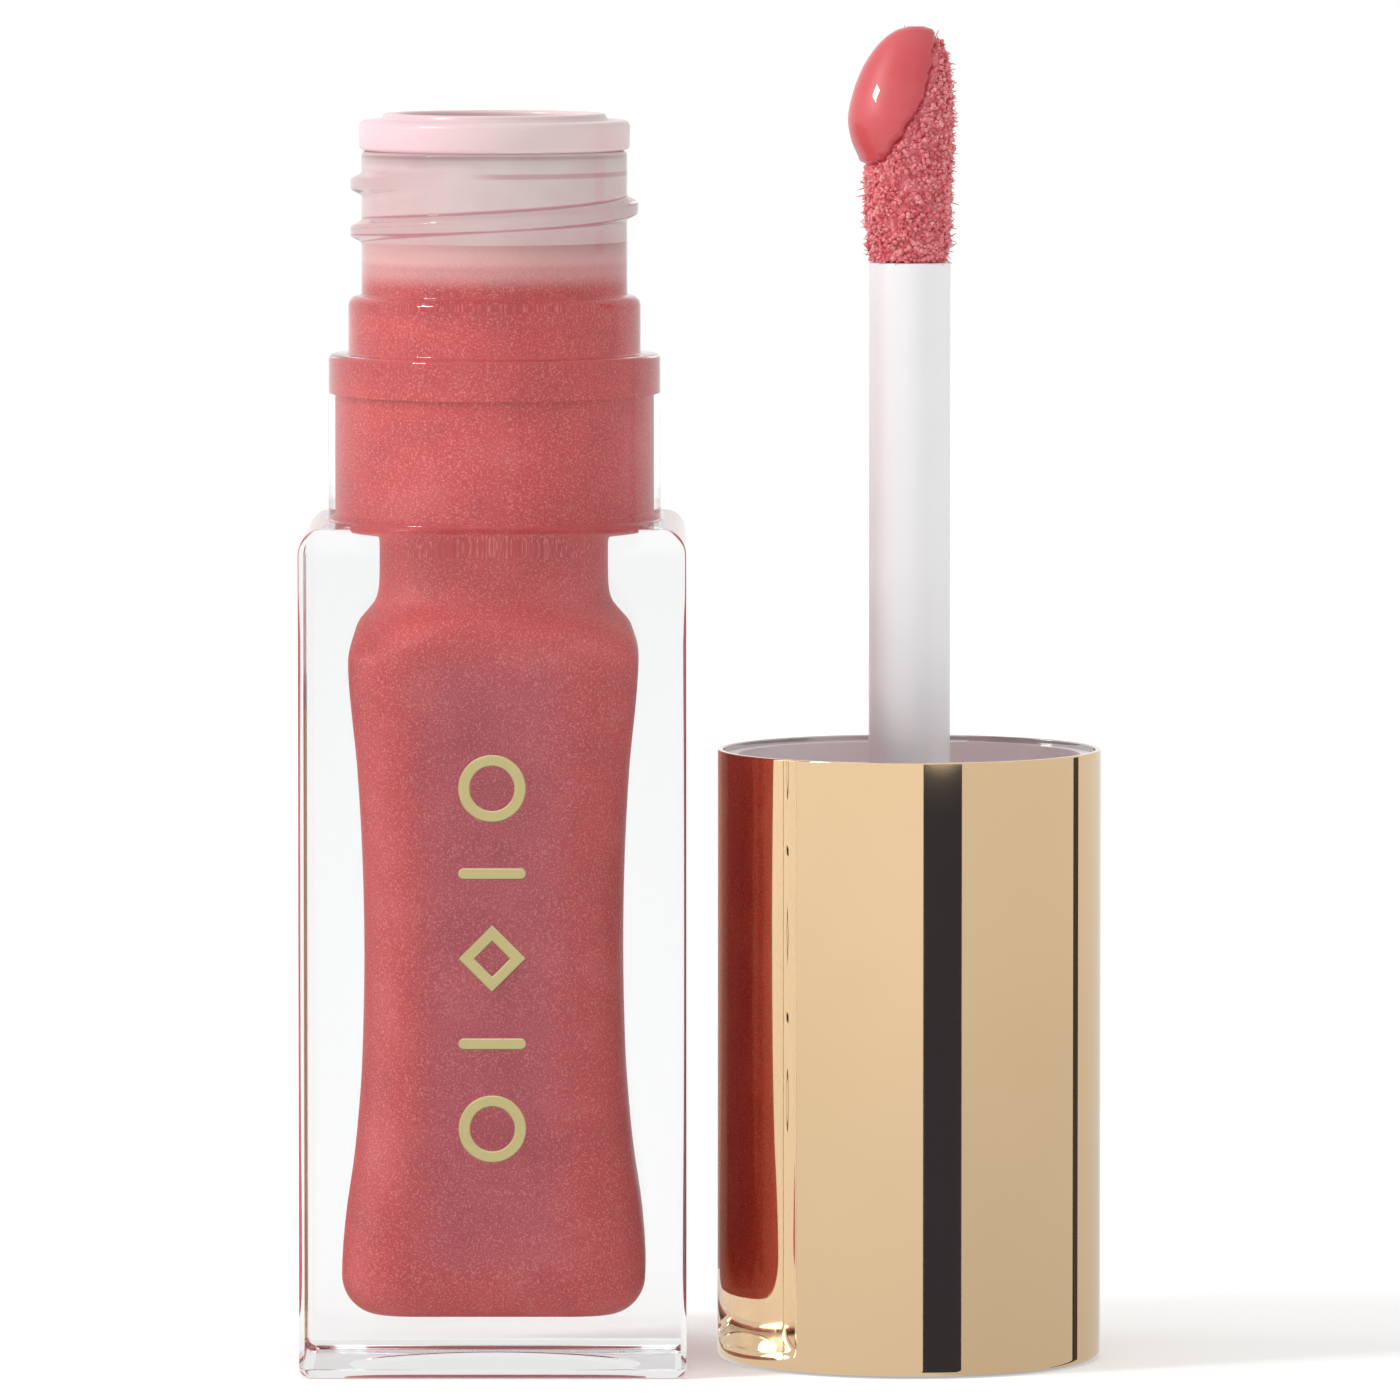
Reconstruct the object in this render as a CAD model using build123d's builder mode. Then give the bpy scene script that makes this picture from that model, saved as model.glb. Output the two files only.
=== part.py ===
from build123d import *
from math import cos, pi, radians, sin, tan
import os

os.makedirs("parts", exist_ok=True)

# A square lip gloss bottle, open, beside its cap, which stands upside down with the wand in the air.
# Millimetres. The origin is the middle of the bottle's base, +Z is up, and the cap stands on +X.
# Every part is built where it stands with the tube open.

# ---- Bottle: a square body with a round collar, a lower step and a threaded neck above it
body_width = 20.0
body_corner_radius = 0.35
shoulder_height = 43.9
shoulder_radius = 1.3
foot_radius = 0.3
collar_radius = 8.68
collar_top = 52.56
collar_flare = 0.45
collar_fillet = 0.42
collar_root = 2.0
collar_edge = 0.35
step_radius = 7.62
step_top = 55.6
step_edge = 0.5
neck_radius = 6.93
neck_top = 63.1
bore_radius = 5.9

# ---- Cavity: soft squares that swell under the shoulder and again above the floor
floor_height = 2.8
floor_radius = 2.2
throat_height = 40.3
throat_foot_height = 38.7
throat_foot_width = 14.2
throat_foot_corner = 5.0
bulge_height = 37.1
bulge_width = 15.0
waist_height = 25.0
waist_width = 13.4
belly_height = 6.6
belly_width = 15.7
belly_corner = 3.8
throat_corner = 5.85

# ---- Screw thread: one start, right hand
thread_lead = 2.45
male_crest_radius = 7.5
male_end_height = 61.78
male_end_angle = 242.0
male_turns = 1.4
ridge_root_half = 0.62
ridge_crest_half = 0.38
female_crest_radius = 7.1
closing_turn = 450.0
closing_advance = thread_lead * closing_turn / 360
lead_in_angle = 3.0
female_turns = 1.25

# ---- How far one shape runs into the next where they join
join = 0.3

# ---- Cap: a metal shell over a plastic lining that carries the thread and the wand
cap_x = 21.62
cap_radius = 10.02
cap_height = 31.9
cap_edge_radius = 0.45
shell_wall = 0.35
shell_floor = 0.5
lining_radius = cap_radius - shell_wall
lining_rim = 31.6
skirt_bore = 8.95
skirt_step = 23.0
thread_bore = 7.9
ceiling_height = 10.1
ceiling_thickness = 1.4
tower_radius = 3.4
rib_count = 6
rib_turn = 30.0
rib_thickness = 0.8
rib_clearance = 0.4
tower_foot = 0.8
# The cap's own zero height, measured on the bottle when the tube is shut
shut_height = 76.0

# ---- Wiper: a soft funnel pushed into the neck, and the washer that seals on its lip
flange_radius = 7.07
flange_top = 64.7
lip_radius = 5.85
lip_top = 65.05
funnel_mouth = 4.95
funnel_bottom = 59.0
sleeve_radius = 5.86
sleeve_bottom = 58.4
orifice_radius = 2.2
orifice_top = 57.3
orifice_bottom = 56.4
orifice_wall = 0.8
funnel_draft = 0.15
flange_edge = 0.3
seal_gap = 0.02
washer_thickness = 0.8
washer_radius = 7.5

# ---- Wand
stem_radius = 2.125
stem_bottom = 1.6
stem_top = 57.3
stem_edge = 0.4
wand_clearance = 0.075
spigot_radius = 1.15
spigot_bottom = 51.5
socket_radius = 1.2
tip_bottom = 57.35
tip_top = 69.6
tip_radius = 2.45
tip_crown = 1.4
tip_edge = 0.3
core_radius = 1.4
tip_face_height = 65.9
tip_face_tilt = 28.0
tip_face_turn = 232.0
flock_thickness = 1.0
drop_half_length = 3.95
drop_radius = 2.4
drop_sink = 0.1
drop_slide = 0.4
drop_gap = 0.05

# ---- Gloss in the bottle, with the hollow that the wand leaves in it
gloss_level = 56.0
well_radius = 3.15
well_bottom = 5.3

# ---- Foil ornament: five plain raised shapes in a column on the front face
foil_width = 3.5
foil_thickness = 0.12
foil_line = 0.6
lozenge_line = 1.4 * foil_line
foil_column_low = 13.0
foil_pitch = 4.4

cap_plane = Plane(origin=(cap_x, 0, 0))
cap_axis = Axis((cap_x, 0, 0), (0, 0, 1))


def ridge(root_radius, crest_radius, turns):
    """One helical ridge about the Z axis, starting at azimuth 0 and height 0."""
    with BuildPart() as thread:
        with BuildLine() as path:
            Helix(pitch=thread_lead, height=thread_lead * turns, radius=root_radius)
        with BuildSketch(Plane(origin=path.line @ 0, x_dir=(1, 0, 0), z_dir=path.line % 0)):
            with BuildLine():
                rise = crest_radius - root_radius
                Polyline((0, -ridge_root_half), (rise, -ridge_crest_half),
                         (rise, ridge_crest_half), (0, ridge_root_half), close=True)
            make_face()
        sweep(path=path.line, is_frenet=True)
    return thread.part


# The hollow inside the bottle, used for the bottle's wall and for the gloss that fills it.
with BuildPart() as cavity:
    with BuildSketch(Plane.XY.offset(floor_height)):
        RectangleRounded(belly_width, belly_width, belly_corner)
    extrude(amount=belly_height - floor_height)
    fillet(cavity.faces().sort_by(Axis.Z)[0].edges(), floor_radius)
    for height, width in (
        (belly_height, belly_width),
        (waist_height, waist_width),
        (bulge_height, bulge_width),
    ):
        with BuildSketch(Plane.XY.offset(height)):
            RectangleRounded(width, width, belly_corner)
    loft()
    with BuildSketch(Plane.XY.offset(bulge_height)):
        RectangleRounded(bulge_width, bulge_width, belly_corner)
    with BuildSketch(Plane.XY.offset(throat_foot_height)):
        RectangleRounded(throat_foot_width, throat_foot_width, throat_foot_corner)
    loft()
    with BuildSketch(Plane.XY.offset(throat_foot_height)):
        RectangleRounded(throat_foot_width, throat_foot_width, throat_foot_corner)
    with BuildSketch(Plane.XY.offset(throat_height)):
        RectangleRounded(2 * bore_radius, 2 * bore_radius, throat_corner)
    loft()
    with BuildSketch(Plane.XY.offset(throat_height)):
        Circle(bore_radius)
    extrude(amount=neck_top - throat_height)

# The ridge's height follows its azimuth, so both ends come from where its upper end is seen.
male_start_angle = male_end_angle - 360 * male_turns
male_start_height = male_end_height - thread_lead * male_turns
male_ridge = ridge(neck_radius - join, male_crest_radius, male_turns)

with BuildPart() as bottle:
    with BuildSketch():
        Rectangle(body_width, body_width)
    extrude(amount=shoulder_height)
    upright_edges = bottle.edges().filter_by(Axis.Z)
    fillet(upright_edges, body_corner_radius)
    fillet(bottle.faces().sort_by(Axis.Z)[0].edges(), foot_radius)
    fillet(bottle.faces().sort_by(Axis.Z)[-1].edges(), shoulder_radius)
    with BuildSketch(Plane.XZ) as neck_profile:
        with BuildLine():
            Polyline((0, shoulder_height - collar_root),
                     (collar_radius + collar_flare, shoulder_height - collar_root),
                     (collar_radius + collar_flare, shoulder_height), (collar_radius, shoulder_height),
                     (collar_radius, collar_top), (step_radius, collar_top),
                     (step_radius, step_top), (neck_radius, step_top),
                     (neck_radius, neck_top), (0, neck_top), close=True)
        make_face()
        # Inside the sketch, X is the radius and Y is the height.
        on_collar = neck_profile.vertices().filter_by_position(Axis.X, collar_radius, collar_radius)
        fillet(on_collar.sort_by(Axis.Y)[0], collar_fillet)
        on_collar_top = neck_profile.vertices().filter_by_position(Axis.Y, collar_top, collar_top)
        fillet(on_collar_top.sort_by(Axis.X)[-1], collar_edge)
        on_step_top = neck_profile.vertices().filter_by_position(Axis.Y, step_top, step_top)
        fillet(on_step_top.sort_by(Axis.X)[-1], step_edge)
    revolve(axis=Axis.Z)
    add(male_ridge.moved(Location((0, 0, male_start_height), (0, 0, male_start_angle))))
    add(cavity.part, mode=Mode.SUBTRACT)
bottle.part.label = "bottle"
export_step(bottle.part, "parts/bottle.step")

# The wiper hangs in the neck from its flange, and its funnel ends in the hole that strips the wand.
with BuildPart() as wiper:
    with BuildSketch(Plane.XZ):
        with BuildLine():
            Polyline((orifice_radius, orifice_bottom), (orifice_radius + orifice_wall, orifice_bottom),
                     (sleeve_radius, sleeve_bottom), (sleeve_radius, neck_top),
                     (flange_radius, neck_top), (flange_radius, flange_top),
                     (lip_radius, flange_top), (lip_radius, lip_top),
                     (funnel_mouth, lip_top), (funnel_mouth - funnel_draft, funnel_bottom),
                     (orifice_radius, orifice_top), close=True)
        make_face()
    revolve(axis=Axis.Z)
    round_edges = wiper.edges().filter_by(GeomType.CIRCLE)
    on_flange_top = round_edges.filter_by_position(Axis.Z, flange_top, flange_top)
    fillet(on_flange_top.sort_by(SortBy.RADIUS)[-1], flange_edge)
wiper.part.label = "wiper"
export_step(wiper.part, "parts/wiper.step")

with BuildPart() as gloss_fill:
    add(cavity.part)
    with BuildSketch(Plane.XY.offset(gloss_level)):
        Circle(neck_radius)
    extrude(amount=neck_top, mode=Mode.SUBTRACT)
    with BuildSketch(Plane.XY.offset(well_bottom)):
        Circle(well_radius)
    extrude(amount=neck_top, mode=Mode.SUBTRACT)
gloss_fill.part.label = "gloss_fill"
export_step(gloss_fill.part, "parts/gloss_fill.step")


def foil_ring():
    Circle(foil_width / 2)
    Circle(foil_width / 2 - foil_line, mode=Mode.SUBTRACT)


def foil_bar():
    SlotOverall(foil_width, foil_line)


def foil_lozenge():
    RegularPolygon(foil_width / 2, 4, rotation=0)
    RegularPolygon(foil_width / 2 - lozenge_line, 4, rotation=0, mode=Mode.SUBTRACT)


# Each shape stands on the front face, which looks along -Y.
for place, (name, draw) in enumerate((
    ("foil_ring_low", foil_ring),
    ("foil_bar_low", foil_bar),
    ("foil_lozenge", foil_lozenge),
    ("foil_bar_high", foil_bar),
    ("foil_ring_high", foil_ring),
)):
    mark_centre = (0, -body_width / 2, foil_column_low + place * foil_pitch)
    with BuildPart() as foil_mark:
        with BuildSketch(Plane(origin=mark_centre, x_dir=(1, 0, 0), z_dir=(0, -1, 0))):
            draw()
        extrude(amount=foil_thickness)
    foil_mark.part.label = name
    export_step(foil_mark.part, f"parts/{name}.step")

with BuildPart() as cap_shell:
    with BuildSketch(cap_plane):
        Circle(cap_radius)
    extrude(amount=cap_height)
    fillet(cap_shell.faces().sort_by(Axis.Z)[0].edges(), cap_edge_radius)
    with BuildSketch(cap_plane.offset(shell_floor)):
        Circle(lining_radius)
    extrude(amount=cap_height, mode=Mode.SUBTRACT)
cap_shell.part.label = "cap_shell"
export_step(cap_shell.part, "parts/cap_shell.step")

# The cap's ridge runs midway between the turns of the neck's when the tube is shut. It begins just
# past the upper end of the neck's ridge when the cap is unscrewed, so the cap then lifts straight off.
female_shut_start = male_end_angle - closing_turn + lead_in_angle
male_height_at_zero = male_end_height - thread_lead * male_end_angle / 360
female_shut_low = male_height_at_zero + thread_lead * (female_shut_start / 360 - 0.5)
# Turned over and unscrewed, azimuth a becomes 180 - a - closing_turn, and height h becomes shut_height - h.
female_start_angle = 180 - closing_turn - (female_shut_start + 360 * female_turns)
female_start_height = shut_height - (female_shut_low + thread_lead * female_turns)
female_ridge = ridge(thread_bore + join, female_crest_radius, female_turns)

with BuildPart() as inner_cap:
    with BuildSketch(cap_plane.offset(ceiling_height - ceiling_thickness)):
        Circle(lining_radius)
    extrude(amount=lining_rim - ceiling_height + ceiling_thickness)
    with BuildSketch(cap_plane.offset(ceiling_height)):
        Circle(thread_bore)
    extrude(amount=cap_height, mode=Mode.SUBTRACT)
    with BuildSketch(cap_plane.offset(skirt_step)):
        Circle(skirt_bore)
    extrude(amount=cap_height, mode=Mode.SUBTRACT)
    with BuildSketch(cap_plane.offset(tower_foot)):
        Circle(tower_radius)
        with PolarLocations(lining_radius / 2, rib_count, start_angle=rib_turn):
            Rectangle(lining_radius - rib_clearance, rib_thickness)
    extrude(amount=ceiling_height - ceiling_thickness)
    with BuildSketch(cap_plane.offset(stem_bottom - join)):
        Circle(stem_radius + wand_clearance)
    extrude(amount=ceiling_height, mode=Mode.SUBTRACT)
    add(female_ridge.moved(Location((cap_x, 0, female_start_height), (0, 0, female_start_angle))))
inner_cap.part.label = "inner_cap"
export_step(inner_cap.part, "parts/inner_cap.step")

# The washer lies where the wiper's lip stops it, so it stands off the ceiling until the cap is screwed on.
washer_top = shut_height + closing_advance - lip_top - seal_gap
with BuildPart() as seal_washer:
    with BuildSketch(cap_plane.offset(washer_top - washer_thickness)):
        Circle(washer_radius)
        Circle(stem_radius + wand_clearance, mode=Mode.SUBTRACT)
    extrude(amount=washer_thickness)
seal_washer.part.label = "seal_washer"
export_step(seal_washer.part, "parts/seal_washer.step")

with BuildPart() as wand_stem:
    with BuildSketch(cap_plane.offset(stem_bottom)):
        Circle(stem_radius)
    extrude(amount=stem_top - stem_bottom)
    with BuildSketch(cap_plane.offset(spigot_bottom - join)):
        Circle(socket_radius)
    extrude(amount=stem_top, mode=Mode.SUBTRACT)
    fillet(wand_stem.edges().filter_by(GeomType.CIRCLE).sort_by(Axis.Z)[0], stem_edge)
wand_stem.part.label = "wand_stem"
export_step(wand_stem.part, "parts/wand_stem.step")

# The tip is cut by one slanted face. The plane's normal points out of that face.
face_normal = (
    cos(radians(tip_face_turn)) * cos(radians(tip_face_tilt)),
    sin(radians(tip_face_turn)) * cos(radians(tip_face_tilt)),
    sin(radians(tip_face_tilt)),
)
face_uphill = (
    -cos(radians(tip_face_turn)) * sin(radians(tip_face_tilt)),
    -sin(radians(tip_face_turn)) * sin(radians(tip_face_tilt)),
    cos(radians(tip_face_tilt)),
)
tip_face = Plane(origin=(cap_x, 0, tip_face_height), x_dir=face_uphill, z_dir=face_normal)

with BuildPart() as tip_core:
    with BuildSketch(cap_plane.offset(spigot_bottom)):
        Circle(spigot_radius)
    extrude(amount=tip_bottom - spigot_bottom)
    with BuildSketch(cap_plane.offset(tip_bottom)):
        Circle(core_radius)
    extrude(amount=tip_top - flock_thickness - tip_bottom)
    split(bisect_by=tip_face.offset(-flock_thickness), keep=Keep.BOTTOM)
tip_core.part.label = "tip_core"
export_step(tip_core.part, "parts/tip_core.step")

with BuildPart() as tip_flock:
    with BuildSketch(cap_plane.offset(tip_bottom)):
        Circle(tip_radius)
    extrude(amount=tip_top - tip_bottom)
    fillet(tip_flock.faces().sort_by(Axis.Z)[-1].edges(), tip_crown)
    fillet(tip_flock.faces().sort_by(Axis.Z)[0].edges(), tip_edge)
    split(bisect_by=tip_face, keep=Keep.BOTTOM)
    add(tip_core.part, mode=Mode.SUBTRACT)
tip_flock.part.label = "tip_flock"
export_step(tip_flock.part, "parts/tip_flock.step")

# A smooth drop of gloss lies along the slanted face, longest up the slope.
with BuildPart() as tip_gloss:
    drop_plane = Plane(
        origin=tip_face.offset(-drop_sink).from_local_coords((-drop_slide, 0, 0)),
        x_dir=tip_face.x_dir,
        z_dir=tip_face.z_dir,
    )
    with BuildSketch(drop_plane):
        Ellipse(drop_half_length, drop_radius)
        with Locations((0, -drop_radius)):
            Rectangle(2 * drop_half_length, 2 * drop_radius, mode=Mode.SUBTRACT)
    revolve(axis=Axis(drop_plane.origin, drop_plane.x_dir))
    split(bisect_by=tip_face.offset(drop_gap), keep=Keep.TOP)
tip_gloss.part.label = "tip_gloss"
export_step(tip_gloss.part, "parts/tip_gloss.step")
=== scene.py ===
# %% [markdown]
# # A lip gloss tube, open
# The bottle stands on the left. Its cap stands upside down on the right with the wand in the air.
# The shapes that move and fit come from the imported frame; this script gives each of them its looks.

# %% Load the frame
import math

import bmesh
import bpy
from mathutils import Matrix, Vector, noise


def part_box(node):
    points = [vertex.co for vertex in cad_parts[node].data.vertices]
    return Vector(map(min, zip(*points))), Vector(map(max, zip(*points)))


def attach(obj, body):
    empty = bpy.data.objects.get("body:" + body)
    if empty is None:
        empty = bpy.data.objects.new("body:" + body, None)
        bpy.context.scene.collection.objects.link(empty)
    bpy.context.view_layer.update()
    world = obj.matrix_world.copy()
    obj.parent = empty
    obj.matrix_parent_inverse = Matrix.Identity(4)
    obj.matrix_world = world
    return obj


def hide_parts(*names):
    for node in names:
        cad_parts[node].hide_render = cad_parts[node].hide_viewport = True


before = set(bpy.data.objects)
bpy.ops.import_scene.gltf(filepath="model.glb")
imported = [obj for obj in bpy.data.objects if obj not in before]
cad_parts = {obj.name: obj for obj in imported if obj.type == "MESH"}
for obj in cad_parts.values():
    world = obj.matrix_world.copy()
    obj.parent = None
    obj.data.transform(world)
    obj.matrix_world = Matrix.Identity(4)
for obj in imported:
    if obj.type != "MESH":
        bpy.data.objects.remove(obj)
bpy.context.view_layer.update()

MM = 0.001


# %% [markdown]
# ## Reading sizes from the frame
# Every piece is placed from the boxes of the frame's nodes, so the looks follow the design.
# Lengths below are in millimetres until a mesh is made, because a cosmetic bottle is drawn in them.

# %% Sizes of the frame's nodes, in millimetres
def span(node):
    """Lowest and highest corner of a node, in millimetres."""
    low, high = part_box(node)
    return Vector(low) / MM, Vector(high) / MM


bottle_low, bottle_high = span("bottle")
shell_low, shell_high = span("cap_shell")
stem_low, stem_high = span("wand_stem")
flock_low, flock_high = span("tip_flock")
wiper_low, wiper_high = span("wiper")
body_half = (bottle_high.x - bottle_low.x) / 2
neck_top = bottle_high.z
cap_x = (shell_low.x + shell_high.x) / 2
cap_radius = (shell_high.x - shell_low.x) / 2
cap_height = shell_high.z
thread_lead = 2.45
thread_rise = 0.57
thread_end_turn = 242.0
thread_end_height = 61.78
thread_turns = 1.4
print("cap axis at x =", round(cap_x, 3), "neck top at z =", round(neck_top, 3))


# %% [markdown]
# ## Two ways to make a mesh
# A turned part is a profile spun about an axis. A moulded bottle is a stack of closed outlines,
# square at the foot and round at the neck, joined ring to ring. Both are the same loft, so one
# function makes both, and an outline with a corner as large as its half width is a circle.

# %% Outlines and lofts
CORNER_STEPS = 40
SIDE_MARKS = (0.03, 0.5, 0.97)


def soft_square(half, corner):
    """Points round a square with round corners, anticlockwise."""
    reach = half - corner
    corners = ((reach, reach), (-reach, reach), (-reach, -reach), (reach, -reach))
    points = []
    for quarter, (cx, cy) in enumerate(corners):
        for step in range(CORNER_STEPS + 1):
            turn = (quarter + step / CORNER_STEPS) * math.pi / 2
            points.append((cx + corner * math.cos(turn), cy + corner * math.sin(turn)))
        nx, ny = corners[(quarter + 1) % 4]
        turn = (quarter + 1) * math.pi / 2
        for mark in SIDE_MARKS:
            points.append((
                cx + (nx - cx) * mark + corner * math.cos(turn),
                cy + (ny - cy) * mark + corner * math.sin(turn),
            ))
    return points


def circle(radius, count):
    """Points round a circle, anticlockwise."""
    turns = (2 * math.pi * step / count for step in range(count))
    return [(radius * math.cos(turn), radius * math.sin(turn)) for turn in turns]


def new_piece(name, mesh):
    """An object at the world's origin, so its place is in its mesh."""
    piece = bpy.data.objects.new(name, mesh)
    bpy.context.scene.collection.objects.link(piece)
    return piece


def settle(piece):
    """Turns a piece's live modifiers into its mesh, and removes them."""
    bpy.context.view_layer.update()
    evaluated = piece.evaluated_get(bpy.context.evaluated_depsgraph_get())
    mesh = bpy.data.meshes.new_from_object(evaluated)
    piece.modifiers.clear()
    piece.data = mesh
    return piece


def loft(name, rings, weld=1e-6, through=False):
    """A closed mesh through rings of points in millimetres.

    Each end gets a flat fan. A piece with a hole right through it joins its last ring to its first.
    """
    mesh = bpy.data.meshes.new(name)
    bm = bmesh.new()
    rows = [[bm.verts.new(Vector(point) * MM) for point in ring] for ring in rings]
    pairs = list(zip(rows, rows[1:])) + ([(rows[-1], rows[0])] if through else [])
    for lower, upper in pairs:
        for i in range(len(lower)):
            j = (i + 1) % len(lower)
            bm.faces.new((lower[i], lower[j], upper[j], upper[i]))
    for row, flip in () if through else ((rows[0], True), (rows[-1], False)):
        centre = bm.verts.new(sum((v.co for v in row), Vector()) / len(row))
        for i in range(len(row)):
            pair = (row[i], row[(i + 1) % len(row)])
            bm.faces.new((centre, *(reversed(pair) if flip else pair)))
    bmesh.ops.remove_doubles(bm, verts=bm.verts, dist=weld)
    bmesh.ops.recalc_face_normals(bm, faces=bm.faces)
    for face in bm.faces:
        face.smooth = True
    bm.to_mesh(mesh)
    bm.free()
    piece = new_piece(name, mesh)
    weighted = piece.modifiers.new("even_shading", "WEIGHTED_NORMAL")
    weighted.weight = 100
    return settle(piece)


def turned(name, profile, centre_x=0.0, count=160, through=False):
    """A solid of revolution: (radius, height) pairs along one side of its section."""
    return loft(name, [
        [(centre_x + x, y, height) for x, y in circle(max(radius, 0.001), count)]
        for radius, height in profile
    ], through=through)


def rounded(centre, radius, start, end, steps=6):
    """(radius, height) pairs along an arc, by angles in degrees from outwards."""
    pairs = []
    for step in range(steps + 1):
        angle = math.radians(start + (end - start) * step / steps)
        pairs.append((centre[0] + radius * math.cos(angle), centre[1] + radius * math.sin(angle)))
    return pairs


def along(table, at):
    """A smooth curve through a short table of (height, value) rows, heights rising."""
    if at <= table[0][0]:
        return table[0][1]
    if at >= table[-1][0]:
        return table[-1][1]
    i = max(k for k, row in enumerate(table) if row[0] <= at)
    i = min(i, len(table) - 2)

    def slope(k):
        low, high = table[max(k - 1, 0)], table[min(k + 1, len(table) - 1)]
        return (high[1] - low[1]) / (high[0] - low[0])

    (a, start), (b, end) = table[i], table[i + 1]
    width = b - a
    t = (at - a) / width
    curve = (2 * t**3 - 3 * t**2 + 1) * start + (3 * t**2 - 2 * t**3) * end
    return curve + (t**3 - 2 * t**2 + t) * width * slope(i) + (t**3 - t**2) * width * slope(i + 1)


def ease(low, high, share):
    """A smooth step from low to high as share goes from 0 to 1."""
    share = min(max(share, 0.0), 1.0)
    return low + (high - low) * share * share * (3 - 2 * share)


# %% [markdown]
# ## Shader maths as plain expressions
# A wire is one value in a material's node tree. Adding, multiplying or comparing wires adds the Math
# nodes, so a pattern reads as a formula. Every other node comes from one method.

# %% Wires and finishes
class Wire:
    """One output of a node, with arithmetic."""

    def __init__(self, finish, socket):
        self.finish, self.socket = finish, socket

    def math(self, operation, *others, **more):
        sockets = dict(enumerate((self, *others)))
        return self.finish.node("ShaderNodeMath", {"operation": operation, **more}, sockets).wire()

    def __add__(self, other):
        return self.math("ADD", other)

    def __sub__(self, other):
        return self.math("SUBTRACT", other)

    def __rsub__(self, other):
        return self.finish.number(other).math("SUBTRACT", self)

    def __mul__(self, other):
        return self.math("MULTIPLY", other)

    def __lt__(self, other):
        return self.math("LESS_THAN", other)

    __radd__, __rmul__ = __add__, __mul__

    def clamp(self, low, high):
        return self.math("MAXIMUM", low).math("MINIMUM", high)

    def between(self, start, end):
        """0 below start, 1 above end, smooth in between."""
        settings = {"interpolation_type": "SMOOTHSTEP"}
        sockets = {"Value": self, "From Min": start, "From Max": end}
        return self.finish.node("ShaderNodeMapRange", settings, sockets).wire()


class Made:
    """A node that a finish has made."""

    def __init__(self, finish, node):
        self.finish, self.node = finish, node

    def wire(self, output=0):
        return Wire(self.finish, self.node.outputs[output])


def colour_of(colour):
    """A wire as it is, or a colour with its alpha at 1."""
    return colour if isinstance(colour, Wire) else (*colour[:3], 1.0)


class Nodes:
    """A shader tree under construction: a material's or the world's."""

    def __init__(self, tree):
        self.tree = tree
        self.tree.nodes.clear()

    def node(self, kind, settings=None, sockets=None):
        """Makes a node, sets its options and links or fills its inputs, by name or by number."""
        node = self.tree.nodes.new(kind)
        for key, value in (settings or {}).items():
            setattr(node, key, value)
        for key, value in (sockets or {}).items():
            if isinstance(value, Wire):
                self.tree.links.new(value.socket, node.inputs[key])
            else:
                node.inputs[key].default_value = value
        return Made(self, node)

    def number(self, value):
        made = self.node("ShaderNodeValue")
        made.node.outputs[0].default_value = value
        return made.wire()


class Finish(Nodes):
    """A material under construction. Its patterns lie on Object coordinates."""

    def __init__(self, name):
        self.material = bpy.data.materials.new(name)
        self.material.use_nodes = True
        super().__init__(self.material.node_tree)
        self.place = self.node("ShaderNodeTexCoord").wire("Object")

    def axes(self):
        """X, Y and Z of a point, in millimetres."""
        split = self.node("ShaderNodeSeparateXYZ", None, {"Vector": self.place})
        return tuple(split.wire(axis) * (1 / MM) for axis in "XYZ")

    def noise(self, per_mm, detail=3.0, roughness=0.5):
        """Soft noise from 0 to 1, with so many lumps per millimetre."""
        return self.node("ShaderNodeTexNoise", None, {
            "Vector": self.place,
            "Scale": per_mm / MM,
            "Detail": detail,
            "Roughness": roughness,
        }).wire()

    def blend(self, share, first, second):
        """A colour between two colours. The Mix node's inputs share names, so they go by number."""
        settings = {"data_type": "RGBA"}
        sockets = {0: share, 6: colour_of(first), 7: colour_of(second)}
        return self.node("ShaderNodeMix", settings, sockets).wire(2)

    def bump(self, height, strength, distance_mm):
        """A Normal from a height pattern."""
        sockets = {"Height": height, "Strength": strength, "Distance": distance_mm * MM}
        return self.node("ShaderNodeBump", None, sockets).wire()

    def surface(self, sockets):
        """Ends the material in one Principled surface."""
        shader = self.node("ShaderNodeBsdfPrincipled", None, sockets)
        output = self.tree.nodes.new("ShaderNodeOutputMaterial")
        self.tree.links.new(shader.node.outputs["BSDF"], output.inputs["Surface"])
        return self.material


def srgb(red, green, blue):
    """A screen colour, 0 to 255, as the linear colour that a shader wants."""
    linear = []
    for value in (red, green, blue):
        value /= 255
        linear.append(value / 12.92 if value <= 0.04045 else ((value + 0.055) / 1.055) ** 2.4)
    return (*linear, 1.0)


def give(piece, material):
    """Makes a material the piece's only one."""
    piece.data.materials.clear()
    piece.data.materials.append(material)
    return piece


# %% [markdown]
# ## Finishes
# The bottle is clear and thick. The gloss is a wet pearl: a red body with fine mica in it. Its colour
# has pale specks, partly the mica's own and partly painted glints, and a painted mauve sheen where the
# light strikes the flats square.

# %% Clear wall
BODY_TINT = (0.82, 0.825, 0.825, 1.0)
NECK_TINT = (0.95, 0.95, 0.95, 1.0)


def clear_wall():
    """Clear plastic. The body's thick wall takes a little more light than the thin neck."""
    finish = Finish("clear_wall")
    x, y, z = finish.axes()
    tint = finish.blend(z.between(44.0, 46.0), BODY_TINT, NECK_TINT)
    return finish.surface({
        "Base Color": tint,
        "Roughness": 0.0,
        "IOR": 1.5,
        "Transmission Weight": 1.0,
    })


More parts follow.
